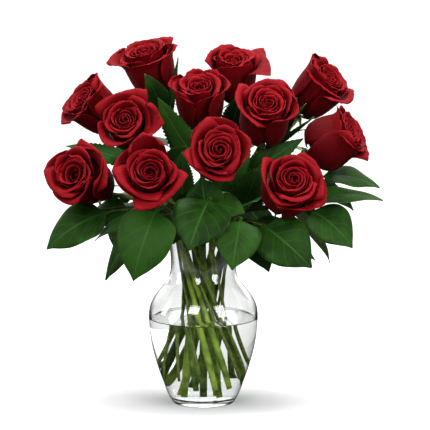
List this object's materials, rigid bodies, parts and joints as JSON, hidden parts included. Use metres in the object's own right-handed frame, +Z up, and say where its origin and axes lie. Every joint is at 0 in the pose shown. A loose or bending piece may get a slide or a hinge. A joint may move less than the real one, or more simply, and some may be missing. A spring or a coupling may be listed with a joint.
{
  "type": "vase of roses",
  "caption": "Red garden roses with glossy oval foliage, standing in water in a clear glass ginger vase.",
  "frame": {"origin": "middle of the vase's flat foot, on the surface it stands on", "axes": "+Z up the vase's axis, -Y the side the bouquet faces, +X to the right as seen from the front"},
  "size_m": [0.3706, 0.2698, 0.4012],
  "materials": {
    "glass": "clear blown glass",
    "water": "clear water",
    "petal": "velvety",
    "rose_green": "satin",
    "salal": "waxy gloss"
  },
  "bodies": {
    "root": {"vase": "glass", "water": "water", "rose_01_bloom": "petal", "rose_02_bloom": "petal", "rose_03_bloom": "petal", "rose_04_bloom": "petal", "rose_05_bloom": "petal", "rose_06_bloom": "petal", "rose_07_bloom": "petal", "rose_08_bloom": "petal", "rose_09_bloom": "petal", "rose_10_bloom": "petal", "rose_11_bloom": "petal", "rose_12_bloom": "petal", "rose_01_stem": "rose_green", "rose_02_stem": "rose_green", "rose_03_stem": "rose_green", "rose_04_stem": "rose_green", "rose_05_stem": "rose_green", "rose_06_stem": "rose_green", "rose_07_stem": "rose_green", "rose_08_stem": "rose_green", "rose_09_stem": "rose_green", "rose_10_stem": "rose_green", "rose_11_stem": "rose_green", "rose_12_stem": "rose_green", "salal_spray_01": "salal", "salal_spray_02": "salal", "salal_spray_03": "salal", "salal_spray_04": "salal", "salal_spray_05": "salal", "salal_spray_06": "salal", "salal_spray_07": "salal", "salal_spray_08": "salal", "salal_spray_09": "salal", "salal_spray_10": "salal", "salal_spray_11": "salal"}
  },
  "joints": []
}
